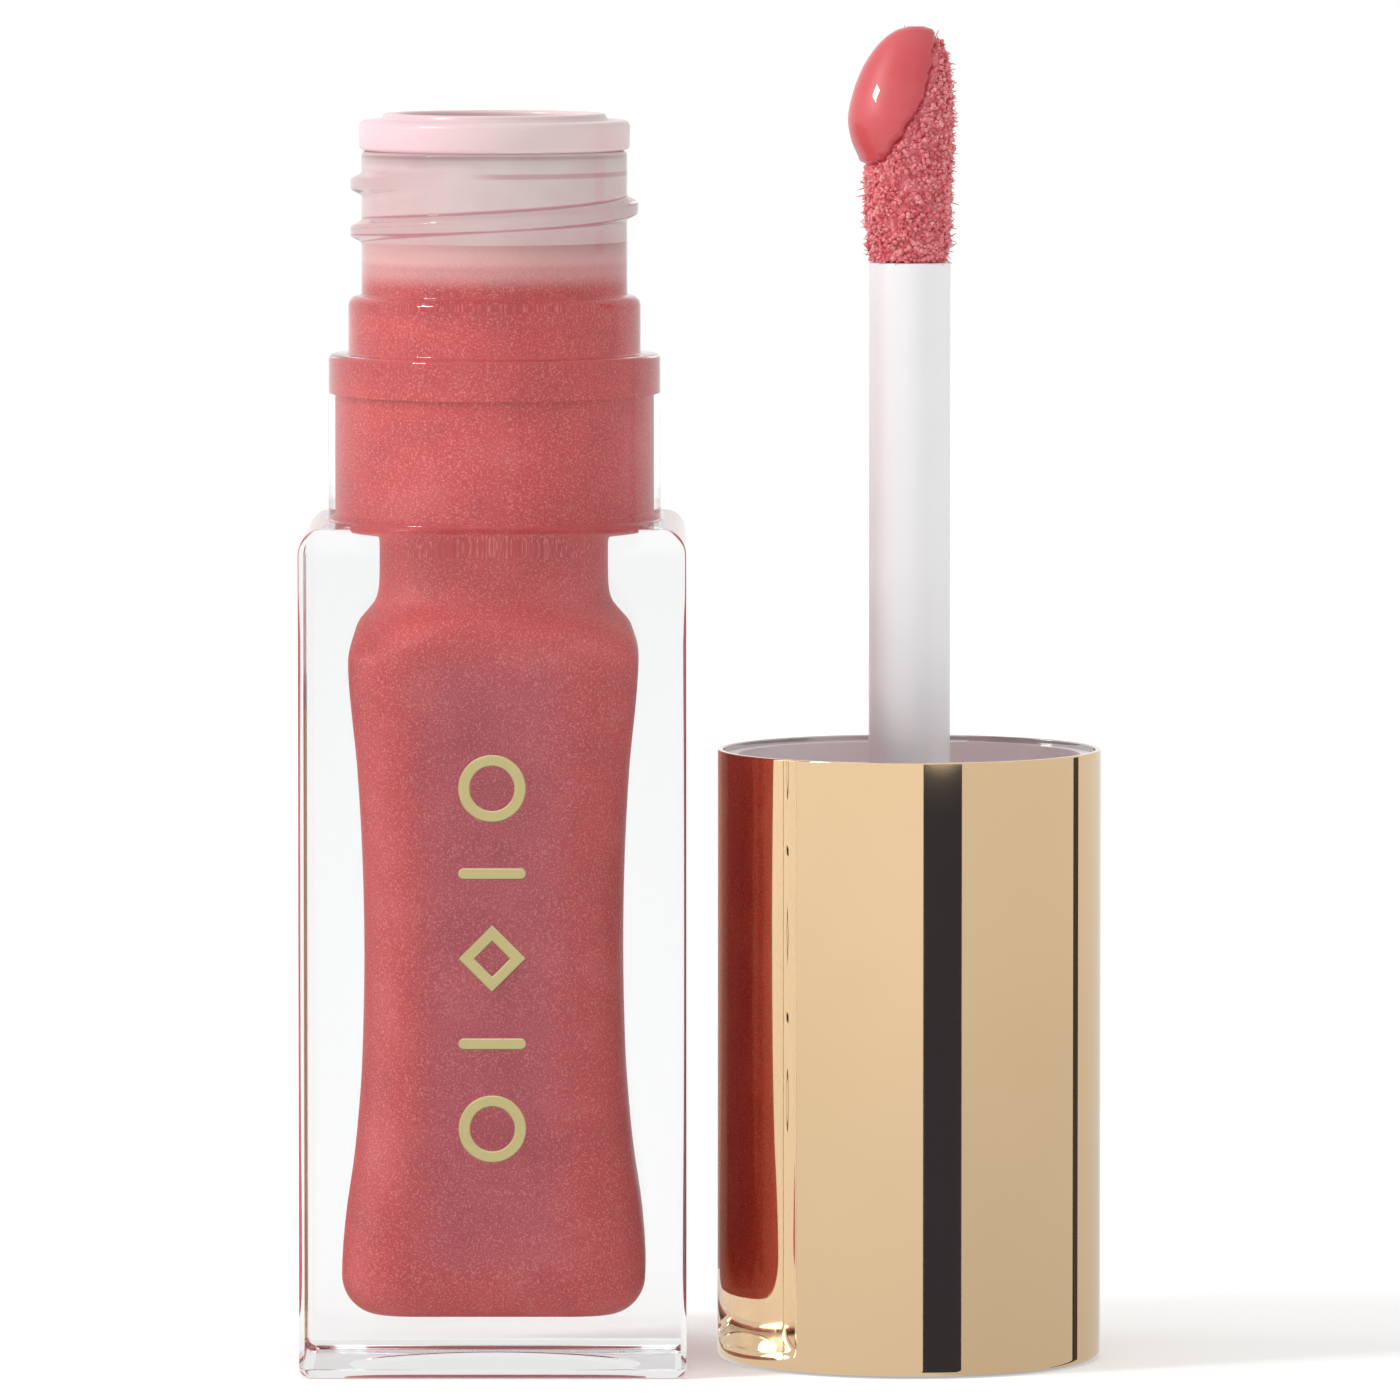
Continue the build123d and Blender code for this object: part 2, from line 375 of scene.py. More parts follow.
# %% Pearl gloss
def pearl_gloss(name, in_bottle, grain, roughness, coat, coat_roughness):
    """Red gloss with mica in it, with a painted mauve sheen on the middle of the bottle's flats and red
    corners.
    """
    finish = Finish(name)
    x, y, z = finish.axes()
    # Painted sheen: the middle of each flat, between foot and shoulder, turns mauve for the pearl's
    # reflection of the front light.
    flat = x.math("ABSOLUTE").math("MINIMUM", y.math("ABSOLUTE"))
    flat = flat.between(5.0, 2.0) * z.between(3.5, 7.5) * z.between(39.0, 35.0)
    body = finish.blend(flat * 0.8, srgb(220, 66, 68), srgb(206, 84, 104))
    swirl = finish.noise(0.3, 3.0, 0.5)
    body = finish.blend(swirl.between(0.5, 0.68) * 0.3, body, srgb(236, 112, 114))
    body = finish.blend(swirl.between(0.48, 0.34) * 0.3, body, srgb(184, 52, 64))
    # Pale specks: partly the mica's own colour, partly painted glints. Darker specks are random tone.
    fine = finish.noise(10.5, 1.0, 0.6)
    colour = finish.blend(fine.between(0.5, 0.7) * (0.55 * grain), body, srgb(250, 160, 154))
    colour = finish.blend(fine.between(0.47, 0.3) * (0.3 * grain), colour, srgb(170, 50, 60))
    if in_bottle:
        # The gloss is a thin film beside the wiper's cone, and paler there.
        film = z.between(55.9, 56.9) * 0.5 + z.between(57.1, 57.5) * 0.22
        colour = finish.blend(film, colour, srgb(255, 214, 212))
    else:
        colour = finish.blend(0.6, colour, srgb(176, 56, 66))
    return finish.surface({
        "Base Color": colour,
        "Roughness": roughness,
        "Normal": finish.bump(fine, 0.12 * grain, 0.05),
        "Coat Weight": coat,
        "Coat Roughness": coat_roughness,
    })


# %% Milky wiper
def milky_plastic():
    """Soft white plastic, stained by the gloss and pinker on its left and in its lower half."""
    finish = Finish("milky_plastic")
    x, y, z = finish.axes()
    stain = x.between(2.0, -7.0) * 0.4 + z.between(62.0, 58.0) * 0.2
    stain = stain + finish.noise(0.35, 2.0).between(0.35, 0.75) * 0.2
    body = finish.blend(stain, srgb(255, 244, 240), srgb(244, 186, 190))
    # Painted refraction: pink lines beside each turn, where the thread bends light from the red gloss
    # below.
    turn = y.math("ARCTAN2", x) * (180 / math.pi)
    helix = (turn - thread_end_turn) * (thread_lead / 360)
    laps = (z - thread_end_height - helix) * (1 / thread_lead)
    phase = laps.math("FRACT") * thread_lead
    painted_refraction_lines = phase.between(0.05, 0.25) * phase.between(0.75, 0.5)
    painted_refraction_lines = painted_refraction_lines * z.between(58.3, 58.8) * z.between(60.9, 60.4)
    # The thread's end gets the same painted pink refraction, and a pink ring just under the flange goes
    # in with them.
    thread_end = z.between(61.75, 61.85) * z.between(62.1, 62.0) * x.between(-1.5, 0.5) * 0.6
    ring = z.between(62.7, 62.95) + thread_end
    body = finish.blend((painted_refraction_lines * 0.75 + ring * 0.8).clamp(0, 1), body, srgb(206, 112, 128))
    # The flange stands bare above the neck.
    flange = finish.blend(x.between(3.0, -6.0), srgb(226, 204, 203), srgb(228, 190, 196))
    body = finish.blend(z.between(63.1, 63.15), body, flange)
    return finish.surface({
        "Base Color": body,
        "Roughness": 0.3,
        "Coat Weight": 0.3,
        "Coat Roughness": 0.15,
    })


# %% Gold of the cap, with a bare rim and a plain inside
def cap_gold():
    """Polished gold with a faint haze, and plain metal on the inside."""
    finish = Finish("cap_gold")
    x, y, z = finish.axes()
    across = (x - cap_x) * (x - cap_x) + y * y
    inside = across.math("SQRT") < (cap_radius - 0.12)
    haze = finish.noise(0.08, 2.0)
    gold = finish.blend(haze.between(0.3, 0.7), srgb(235, 203, 160), srgb(238, 206, 164))
    colour = finish.blend(inside, gold, srgb(200, 196, 198))
    return finish.surface({
        "Base Color": colour,
        "Metallic": 1.0,
        "Roughness": haze.between(0.2, 0.9) * 0.03 + 0.02,
    })


# %% Foil
def foil_gold():
    """Pale gold, with a painted highlight on the edges that face up and painted shade on those that face
    down.
    """
    finish = Finish("foil_gold")
    facing = finish.node("ShaderNodeNewGeometry").wire("Normal")
    tilt = finish.node("ShaderNodeSeparateXYZ", None, {"Vector": facing}).wire("Z")
    grain = finish.noise(1.5, 2.0)
    colour = finish.blend(grain, srgb(200, 186, 130), srgb(210, 197, 142))
    # Painted highlight and painted shade, by which way each face points.
    colour = finish.blend(tilt.between(0.15, 0.6), colour, srgb(246, 236, 200))
    colour = finish.blend(tilt.between(-0.15, -0.6), colour, srgb(70, 58, 36))
    return finish.surface({"Base Color": colour, "Metallic": 0.85, "Roughness": grain * 0.1 + 0.25})


# %% Plain plastics
def plastic(name, colour, roughness, wave=0.0):
    """Plain plastic with a faint cloud in its colour and, where asked, a slight waviness."""
    finish = Finish(name)
    cloud = finish.noise(0.3, 3.0)
    dark = tuple(channel * 0.96 for channel in colour[:3])
    sockets = {
        "Base Color": finish.blend(cloud, colour, dark),
        "Roughness": cloud * 0.08 + roughness,
        "Coat Weight": 0.2,
        "Coat Roughness": 0.1,
    }
    if wave:
        sockets["Normal"] = finish.bump(finish.noise(0.8, 2.0), wave, 0.05)
    return finish.surface(sockets)


# %% Wet flock
def wet_flock(name, red, pale):
    """Fibres wet with gloss: reds in clumps, with pale glints painted in as highlights."""
    finish = Finish(name)
    clump = finish.noise(1.8, 3.0)
    fine = finish.noise(6.0, 2.0)
    colour = finish.blend(clump.between(0.35, 0.65), red, pale)
    # Painted highlights: fine pale specks stand for glints on the wet fibres.
    colour = finish.blend(fine.between(0.6, 0.72) * 0.7, colour, srgb(252, 192, 190))
    return finish.surface({
        "Base Color": colour,
        "Roughness": 0.3,
        "Coat Weight": 0.6,
        "Coat Roughness": 0.1,
        "Sheen Weight": 0.2,
    })


finishes = {
    "clear_wall": clear_wall(),
    "gloss": pearl_gloss("pearl_gloss", True, 1.0, 0.5, 0.15, 0.45),
    "drop": pearl_gloss("wet_drop", False, 0.15, 0.4, 0.8, 0.03),
    "milky": milky_plastic(),
    "gold": cap_gold(),
    "foil": foil_gold(),
    "lining": plastic("cap_lining", srgb(250, 236, 237), 0.3),
    "white": plastic("white_plastic", srgb(244, 243, 244), 0.28, 0.02),
    "washer": plastic("washer_foam", srgb(236, 234, 230), 0.6, 0.2),
    "flock": wet_flock("wet_flock", srgb(214, 80, 92), srgb(232, 116, 124)),
    "nubs": wet_flock("wet_nubs", srgb(226, 98, 106), srgb(244, 146, 148)),
}
print("finishes:", sorted(finishes))


# %% [markdown]
# ## The bottle's wall
# One closed skin goes up the outside, over the neck's rim and down the inside, so light bends at both
# of its faces as in the real heavy wall. The thread is a swelling of the neck that follows a helix.

# %% Outside and inside of the bottle
body_corner = 0.3
foot_roll = 0.6
shoulder_height = 43.9
shoulder_inset, shoulder_drop = 1.15, 1.35
collar_radius = 8.68
band_radius = 8.65
band_height = 50.3
collar_top = 52.56
step_radius = 7.62
step_top = 55.6
neck_radius = 6.93
bore_radius = 5.9
punt_radius, punt_rise = 7.6, 0.4


def thread_swell(turn, height):
    """How far the thread stands out of the neck at a turn of 0 to 1 and a height."""
    best = 0.0
    for lap in (-2, -1, 0):
        along = turn - thread_end_turn / 360 + lap + 1
        if along > 0 or along < -thread_turns:
            continue
        off = abs(height - thread_end_height - thread_lead * along)
        taper = ease(0, 1, -along / 0.09) * ease(0, 1, (along + thread_turns) / 0.12)
        best = max(best, thread_rise * taper * (1 - ease(0, 1, (off - 0.22) / 0.42)))
    return best


def level_ring(outline, height):
    """An outline at one height."""
    return [(x, y, height) for x, y in outline]


def outside_rings():
    """Rings from the middle of the base, which is slightly hollow, up to the neck's rim."""
    rings = []
    for step in range(1, 13):
        reach = step / 12
        radius = punt_radius * reach
        rings.append(level_ring(soft_square(radius, radius), punt_rise * (1 - reach**2)))
    for step in range(7):
        angle = math.pi / 2 * step / 6
        inset = foot_roll * (1 - math.sin(angle))
        outline = soft_square(body_half - inset, body_corner)
        rings.append(level_ring(outline, foot_roll * (1 - math.cos(angle))))
    for step in range(13):
        angle = math.pi / 2 * step / 12
        inset = shoulder_inset * (1 - math.cos(angle))
        outline = soft_square(body_half - inset, body_corner)
        rings.append(level_ring(outline, shoulder_height - shoulder_drop * (1 - math.sin(angle))))
    round_part = rounded((collar_radius + 0.12, shoulder_height + 0.12), 0.12, 270, 180, 4)
    round_part += [(collar_radius, band_height - 0.08), (band_radius, band_height)]
    round_part += rounded((band_radius - 0.3, collar_top - 0.3), 0.3, 0, 90, 5)
    round_part += rounded((step_radius + 0.15, collar_top + 0.15), 0.15, 270, 180, 3)
    round_part += rounded((step_radius - 0.55, step_top - 0.55), 0.55, 0, 90, 7)
    round_part += rounded((neck_radius + 0.12, step_top + 0.12), 0.12, 270, 180, 3)
    for radius, height in round_part:
        rings.append(level_ring(soft_square(radius, radius), height))
    neck_steps = 72
    for step in range(1, neck_steps + 1):
        height = step_top + 0.15 + (neck_top - 0.2 - step_top - 0.15) * step / neck_steps
        ring = []
        for x, y in soft_square(neck_radius, neck_radius):
            turn = (math.atan2(y, x) / (2 * math.pi)) % 1
            swell = 1 + thread_swell(turn, height) / neck_radius
            ring.append((x * swell, y * swell, height))
        rings.append(ring)
    for radius, height in rounded((neck_radius - 0.2, neck_top - 0.2), 0.2, 0, 90, 4)[1:]:
        rings.append(level_ring(soft_square(radius, radius), height))
    return rings


floor_height = 2.95
hollow_sides = (
    (2.95, 7.82), (5.8, 7.82), (8.4, 7.6), (11.0, 7.22), (13.7, 6.95), (16.3, 6.78), (21.5, 6.67),
    (26.7, 6.76), (31.5, 7.03), (34.0, 7.28), (35.8, 7.44), (37.2, 7.45), (38.2, 7.2), (38.8, 6.98),
    (39.4, 6.5), (39.9, 6.12), (40.5, 5.95), (41.4, 5.9), (43.6, 5.9),
)
hollow_corner = 3.3
floor_roll = 2.1
floor_dome = 0.3
mouth_of_bore = 5.5


def hollow_outline(height):
    """(half width, corner radius) of the bottle's inside at a height."""
    if height >= band_height:
        return bore_radius, bore_radius
    if height >= 44.2:
        return mouth_of_bore, mouth_of_bore
    half = along(hollow_sides, height)
    if height >= 43.6:
        half = ease(half, mouth_of_bore, (height - 43.6) / 0.6)
    return half, ease(hollow_corner, half, (height - 37.0) / 3.2)


def hollow_rings(top, grow=0.0):
    """Rings down the inside from a height to the floor, pushed outwards by grow."""
    bore_heights = (top, 60.0, 57.0, 54.0, band_height + 0.02, band_height - 0.02, 47.0)
    heights = [height for height in bore_heights if height <= top]
    heights += [44.2 - 0.1 * i for i in range(7)]
    heights += [43.4 - 0.3 * i for i in range(29)]
    heights += [34.7 - 1.0 * i for i in range(30)]
    rings = []
    for height in heights:
        half, corner = hollow_outline(height)
        rings.append(level_ring(soft_square(half + grow, corner + grow), height))
    start = floor_height + floor_roll
    widest = along(hollow_sides, start)
    for step in range(13):
        angle = math.pi / 2 * step / 12
        inset = floor_roll * (1 - math.cos(angle))
        outline = soft_square(widest - inset + grow, hollow_corner - 0.7 * inset + grow)
        rings.append(level_ring(outline, start - (floor_roll + grow) * math.sin(angle)))
    for share in (0.7, 0.4, 0.15):
        half = (widest - floor_roll) * share
        outline = soft_square(half, (hollow_corner - 0.7 * floor_roll) * share)
        rings.append(level_ring(outline, floor_height - grow + floor_dome * (1 - share)))
    return rings


bottle_wall = loft("bottle_wall", outside_rings() + hollow_rings(neck_top))
give(bottle_wall, finishes["clear_wall"])
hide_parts("bottle")
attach(bottle_wall, "bottle")
print("bottle wall:", len(bottle_wall.data.polygons), "faces")


# %% [markdown]
# ## The gloss
# It wets the wall, so its skin lies a little inside the wall's material and no air shows between them.
# The wand has left a round well in it, which is open at the wiper.

# %% Gloss with its well
GLOSS_GROW = 0.03
gloss_top = 58.38
well_radius, well_bottom = 3.05, 5.35


def gloss_rings():
    """Rings from the bottom of the well up its side, over the rim and down the bottle's wall."""
    inner = [(well_radius, well_bottom), (well_radius, 56.43), (5.86, gloss_top - 0.02)]
    rings = [level_ring(soft_square(radius, radius), height) for radius, height in inner]
    return rings + hollow_rings(gloss_top, GLOSS_GROW)


gloss = loft("gloss", gloss_rings())
give(gloss, finishes["gloss"])
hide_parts("gloss_fill")
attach(gloss, "bottle")


# %% [markdown]
# ## The turned parts
# The wiper, the cap's shell and the stem are each one section spun about an axis. The wiper has a hole
# right through it for the wand, so its section is a closed loop and needs no end faces.

# %% Wiper
flange_bottom, flange_top, lip_top = 63.1, 64.7, wiper_high.z
wiper_profile = [(2.2, 56.4), (2.98, 56.4), (5.93, 58.38), (5.93, flange_bottom)]
wiper_profile += [(6.7, flange_bottom)] + rounded((6.8, 63.4), 0.25, 270, 360, 3)
wiper_profile += rounded((6.72, flange_top - 0.35), 0.35, 0, 90, 5)
wiper_profile += [(5.95, flange_top)] + rounded((5.65, lip_top - 0.15), 0.15, 0, 90, 3)
wiper_profile += rounded((5.15, lip_top - 0.2), 0.2, 90, 180, 3) + [(4.8, 59.0), (2.2, 57.3)]
wiper = turned("milky_wiper", wiper_profile, through=True)
give(wiper, finishes["milky"])
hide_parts("wiper")
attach(wiper, "bottle")


# %% Cap shell
wall, floor_thickness, edge = 0.33, 0.5, 0.45
shell_profile = rounded((cap_radius - edge, edge), edge, 270, 360, 8)
shell_profile += [(cap_radius, cap_height - 0.06), (cap_radius - 0.05, cap_height)]
shell_profile += [(cap_radius - wall + 0.05, cap_height), (cap_radius - wall, cap_height - 0.06)]
shell_profile += [(cap_radius - wall, floor_thickness)]
shell = turned("cap_gold_shell", shell_profile, cap_x, 256)
give(shell, finishes["gold"])
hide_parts("cap_shell")
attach(shell, "turned_cap")

# %% Stem
stem_radius = (stem_high.x - stem_low.x) / 2
stem_profile = [(0.0, stem_low.z)] + rounded((stem_radius - 0.3, stem_low.z + 0.3), 0.3, 270, 360, 4)
stem_profile += rounded((stem_radius - 0.12, stem_high.z - 0.12), 0.12, 0, 90, 4)
stem = turned("stem", stem_profile, cap_x, 96)
give(stem, finishes["white"])
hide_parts("wand_stem")
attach(stem, "screwed_wand")

# These three are fine as the frame has them, and only need a finish.
give(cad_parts["inner_cap"], finishes["lining"])
give(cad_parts["seal_washer"], finishes["washer"])
give(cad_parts["tip_core"], finishes["white"])
print("turned: wiper, shell and stem")


# %% [markdown]
# ## Foil marks
# Hot foil stands a tenth of a millimetre proud and its edges are soft, so each one catches a light
# line above and a dark one below. A small bevel on the frame's own shapes gives the soft edges, and the
# foil's finish paints the light line as a highlight and the dark one as shade.

# %% Foil with soft edges
FOIL_EDGE = 0.09
for name in ("foil_ring_low", "foil_bar_low", "foil_lozenge", "foil_bar_high", "foil_ring_high"):
    mark = new_piece(name + "_soft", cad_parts[name].data.copy())
    bm = bmesh.new()
    bm.from_mesh(mark.data)
    bmesh.ops.remove_doubles(bm, verts=bm.verts, dist=1e-7)
    bmesh.ops.dissolve_limit(bm, angle_limit=math.radians(2), verts=bm.verts, edges=bm.edges)
    bm.to_mesh(mark.data)
    bm.free()
    soft = mark.modifiers.new("soft_edge", "BEVEL")
    soft.width, soft.segments = FOIL_EDGE * MM, 2
    soft.limit_method, soft.angle_limit = "ANGLE", math.radians(50)
    settle(mark)
    give(mark, finishes["foil"])
    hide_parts(name)
    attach(mark, "bottle")


# %% [markdown]
# ## The doe-foot tip
# The tip is a rod cut by a slant that faces the lens and a little left. Short fibres stand all over it
# and the gloss clumps them. One smooth drop of gloss lies on the slant and rolls over its left edge.

# %% Shape of the loaded tip
# Reach to the left, right, front and back of the wand's axis at each height.
tip_left = ((57.4, 2.2), (59.0, 2.42), (61.5, 2.5), (62.7, 2.68), (63.6, 3.05), (64.7, 3.24),
            (65.9, 3.04), (67.2, 2.57), (68.1, 2.05), (68.85, 1.42), (69.35, 0.72), (69.55, 0.1))
tip_right = ((57.4, 2.1), (59.0, 2.25), (61.5, 2.32), (64.7, 2.4), (67.2, 2.28), (68.1, 2.1),
             (68.85, 1.8), (69.35, 1.3), (69.55, 0.75))
tip_front = ((57.4, 2.2), (61.5, 2.4), (63.0, 2.6), (64.4, 2.55), (65.9, 2.1), (67.2, 1.5),
             (68.1, 1.05), (68.85, 0.6), (69.35, 0.2), (69.55, -0.1))
tip_back = ((57.4, 2.2), (61.5, 2.35), (66.5, 2.35), (67.8, 2.2), (68.85, 1.75), (69.35, 1.25),
            (69.55, 0.8))
# How far right the drop reaches at each height.
drop_edge = ((62.2, -2.1), (62.6, -1.55), (64.2, -0.25), (65.7, 0.75), (67.2, 1.2), (68.6, 1.5),
             (69.6, 1.7))
TIP_FOOT, TIP_TOP = 57.4, 69.55


def tip_point(turn, height):
    """A point of the loaded tip's skin, from the wand's axis."""
    left, right = along(tip_left, height), along(tip_right, height)
    front, back = along(tip_front, height), along(tip_back, height)
    half_x, half_y = (left + right) / 2, (front + back) / 2
    x = (right - left) / 2 + half_x * math.cos(turn)
    y = (back - front) / 2 + half_y * math.sin(turn)
    return Vector((x, y, height))


def inside_drop(point):
    """How far a point of the skin lies inside the drop's outline, in millimetres."""
    ragged = 0.22 * noise.noise(point * 1.3) + 0.1 * noise.noise(point * 3.5)
    return min(along(drop_edge, point.z) - point.x, 1.1 - point.y, (point.z - 62.25) * 1.4) + ragged


def tip_skin(name, count, levels, depth):
    """The tip's skin pushed inwards by depth(point). Levels crowd towards the top, which curves most."""
    rings = []
    for level in range(levels + 1):
        share = level / levels
        height = TIP_FOOT + (TIP_TOP - TIP_FOOT) * (1 - (1 - share) ** 1.5)
        below, beyond = max(height - 0.1, TIP_FOOT), min(height + 0.1, TIP_TOP)
        ring = []
        for step in range(count):
            turn = 2 * math.pi * step / count
            point = tip_point(turn, height)
            beside = tip_point(turn + 0.05, height) - tip_point(turn - 0.05, height)
            above = tip_point(turn, beyond) - tip_point(turn, below)
            outwards = beside.cross(above).normalized()
            moved = point - outwards * depth(point)
            ring.append((cap_x + moved.x, moved.y, max(moved.z, TIP_FOOT)))
        rings.append(ring)
    return loft(name, rings)


def lumps(point):
    """Clumps of wet fibres, 0 in the gaps and about 1 on the tops."""
    cells = noise.voronoi(point * 2.6)[0]
    return min(1.0, (cells[1] - cells[0]) * 1.9)


def flock_depth(point):
    """Fibres stand proud where they are bare, and lie flat under the drop."""
    settled = ease(0, 1, (inside_drop(point) + 0.1) / 0.4)
    return 0.34 + 0.3 * settled - 0.2 * lumps(point)


def drop_depth(point):
    """The drop reaches the skin inside its outline and sinks under the flock outside it."""
    return 0.8 - 0.8 * ease(0, 1, (inside_drop(point) + 0.12) / 0.55) ** 0.6


flock_base = tip_skin("flock_base", 260, 200, flock_depth)
give(flock_base, finishes["flock"])
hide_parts("tip_flock")
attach(flock_base, "turned_cap")

drop = tip_skin("tip_drop", 160, 140, drop_depth)
give(drop, finishes["drop"])
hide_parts("tip_gloss")
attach(drop, "turned_cap")

# 1 where fibres may grow and 0 under the drop.
bare = flock_base.data.attributes.new("bare", "FLOAT", "POINT")
for vertex, cell in zip(flock_base.data.vertices, bare.data):
    point = vertex.co / MM - Vector((cap_x, 0, 0))
    cell.value = 1 - ease(0, 1, (inside_drop(point) + 0.25) / 0.3)


# %% [markdown]
# ## Fibres
# Geometry Nodes scatters points over the flock, stands a small cone on each and leans it at random with
# a fixed seed. Wide short cones make the wet nubs and thin long ones the loose fibres.

# %% Fibres on the tip
class Grower:
    """A Geometry Nodes tree under construction."""

    def __init__(self, name):
        self.tree = bpy.data.node_groups.new(name, "GeometryNodeTree")
        self.inputs = {}
        self.tree.interface.new_socket("Geometry", in_out="OUTPUT", socket_type="NodeSocketGeometry")
        self.add_input("Geometry", "NodeSocketGeometry")
        self.group_in = self.tree.nodes.new("NodeGroupInput")
        self.group_out = self.tree.nodes.new("NodeGroupOutput")

    def add_input(self, name, kind):
        socket = self.tree.interface.new_socket(name, in_out="INPUT", socket_type=kind)
        self.inputs[name] = socket.identifier

    def node(self, kind, settings=None, sockets=None):
        node = self.tree.nodes.new(kind)
        for key, value in (settings or {}).items():
            setattr(node, key, value)
        for key, value in (sockets or {}).items():
            if isinstance(value, bpy.types.NodeSocket):
                self.tree.links.new(value, node.inputs[key])
            else:
                node.inputs[key].default_value = value
        return node


def fibre_tree():
    """Cones on scattered points: density, size, taper, seed and material are inputs."""
    grow = Grower("flock_fibres")
    for name in ("Density", "Length", "Width", "Taper"):
        grow.add_input(name, "NodeSocketFloat")
    grow.add_input("Seed", "NodeSocketInt")
    grow.add_input("Material", "NodeSocketMaterial")
    given = grow.group_in.outputs
    bare = grow.node("GeometryNodeInputNamedAttribute", {"data_type": "FLOAT"}, {"Name": "bare"})
    local = grow.node("ShaderNodeMath", {"operation": "MULTIPLY"}, {
        0: given["Density"], 1: bare.outputs["Attribute"]})
    scatter = grow.node("GeometryNodeDistributePointsOnFaces", {"distribute_method": "RANDOM"}, {
        "Mesh": given["Geometry"], "Density": local.outputs[0], "Seed": given["Seed"]})
    top = grow.node("ShaderNodeMath", {"operation": "MULTIPLY"}, {
        0: given["Width"], 1: given["Taper"]})
    fibre = grow.node("GeometryNodeMeshCone", None, {
        "Vertices": 6, "Side Segments": 2, "Radius Top": top.outputs[0],
        "Radius Bottom": given["Width"], "Depth": given["Length"]})
    lean = grow.node("FunctionNodeRandomValue", {"data_type": "FLOAT_VECTOR"}, {
        "Min": (-0.75, -0.75, -0.75), "Max": (0.75, 0.75, 0.75), "Seed": given["Seed"]})
    aim = grow.node("ShaderNodeVectorMath", {"operation": "ADD"}, {
        0: scatter.outputs["Normal"], 1: lean.outputs[0]})
    turn = grow.node("FunctionNodeAlignRotationToVector", {"axis": "Z"}, {"Vector": aim.outputs[0]})
    size = grow.node("FunctionNodeRandomValue", {"data_type": "FLOAT"}, {
        "Min": 0.6, "Max": 1.25, "Seed": 7})
    place = grow.node("GeometryNodeInstanceOnPoints", None, {
        "Points": scatter.outputs["Points"], "Instance": fibre.outputs["Mesh"],
        "Rotation": turn.outputs[0], "Scale": size.outputs[1]})
    real = grow.node("GeometryNodeRealizeInstances", None, {"Geometry": place.outputs[0]})
    finish = grow.node("GeometryNodeSetMaterial", None, {
        "Geometry": real.outputs[0], "Material": given["Material"]})
    grow.tree.links.new(finish.outputs[0], grow.group_out.inputs["Geometry"])
    return grow


def grow_fibres(name, base, density_per_mm2, length, width, taper, seed, material):
    """Grows fibres on a copy of a piece. Lengths are in millimetres."""
    grow = fibre_tree()
    piece = new_piece(name, base.data.copy())
    modifier = piece.modifiers.new("fibres", "NODES")
    modifier.node_group = grow.tree
    values = {
        "Density": density_per_mm2 / MM**2,
        "Length": length * MM,
        "Width": width * MM,
        "Taper": taper,
        "Seed": seed,
        "Material": material,
    }
    for key, value in values.items():
        modifier[grow.inputs[key]] = value
    settle(piece)
    for polygon in piece.data.polygons:
        polygon.use_smooth = True
    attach(piece, "turned_cap")
    print(name, len(piece.data.polygons), "faces")


grow_fibres("flock_nubs", flock_base, 16.0, 0.16, 0.13, 0.55, 3, finishes["nubs"])
grow_fibres("flock_fibres", flock_base, 7.0, 0.4, 0.035, 0.4, 11, finishes["flock"])


# %% [markdown]
# ## Studio
# A pale floor, an even white room and soft boxes. Black flags beside the lens, which the lens
# itself doesn't see, draw the dark stripes that give polished gold its shape.

# %% Floor, light and flags
def sheet(name, corners):
    """One flat face."""
    mesh = bpy.data.meshes.new(name)
    mesh.from_pydata(corners, [], [tuple(range(len(corners)))])
    return new_piece(name, mesh)


def emitting(name, colour, strength):
    """A material that only glows."""
    finish = Finish(name)
    shader = finish.node("ShaderNodeEmission", None, {"Color": (*colour, 1.0), "Strength": strength})
    output = finish.tree.nodes.new("ShaderNodeOutputMaterial")
    finish.tree.links.new(shader.node.outputs[0], output.inputs["Surface"])
    return finish.material


FLOOR_REACH = 12.0
floor = sheet("floor", [
    (-FLOOR_REACH, -FLOOR_REACH, 0), (FLOOR_REACH, -FLOOR_REACH, 0),
    (FLOOR_REACH, FLOOR_REACH, 0), (-FLOOR_REACH, FLOOR_REACH, 0)])
pale_floor = Finish("pale_floor")
give(floor, pale_floor.surface({
    "Base Color": srgb(245, 245, 245),
    "Roughness": 0.9,
    "Emission Color": (1.0, 1.0, 1.0, 1.0),
    "Emission Strength": 0.27,
}))
floor.visible_glossy = False


def flag(name, azimuth_from, azimuth_to, distance, low, high, strength, colour=(1, 1, 1)):
    """A tall card that faces the cap. Azimuth 0 is towards the lens, and grows to the right."""
    centre = Vector((cap_x * MM, 0, 0))
    corners = []
    ends = ((azimuth_from, low), (azimuth_to, low), (azimuth_to, high), (azimuth_from, high))
    for azimuth, height in ends:
        angle = math.radians(azimuth)
        reach = Vector((math.sin(angle), -math.cos(angle), 0)) * distance
        corners.append(tuple(centre + reach + Vector((0, 0, height))))
    card = sheet(name, corners)
    give(card, emitting(name + "_light", colour, strength))
    card.visible_camera = False
    card.visible_diffuse = strength > 0.5
    card.visible_shadow = False
    card.visible_transmission = False


flag("black_flag_right", 7.5, 30.6, 0.62, -0.4, -0.013, 0.045, (0.85, 1.0, 1.7))
flag("black_flag_far_right", 115, 121, 0.5, -0.4, -0.004, 0.06)

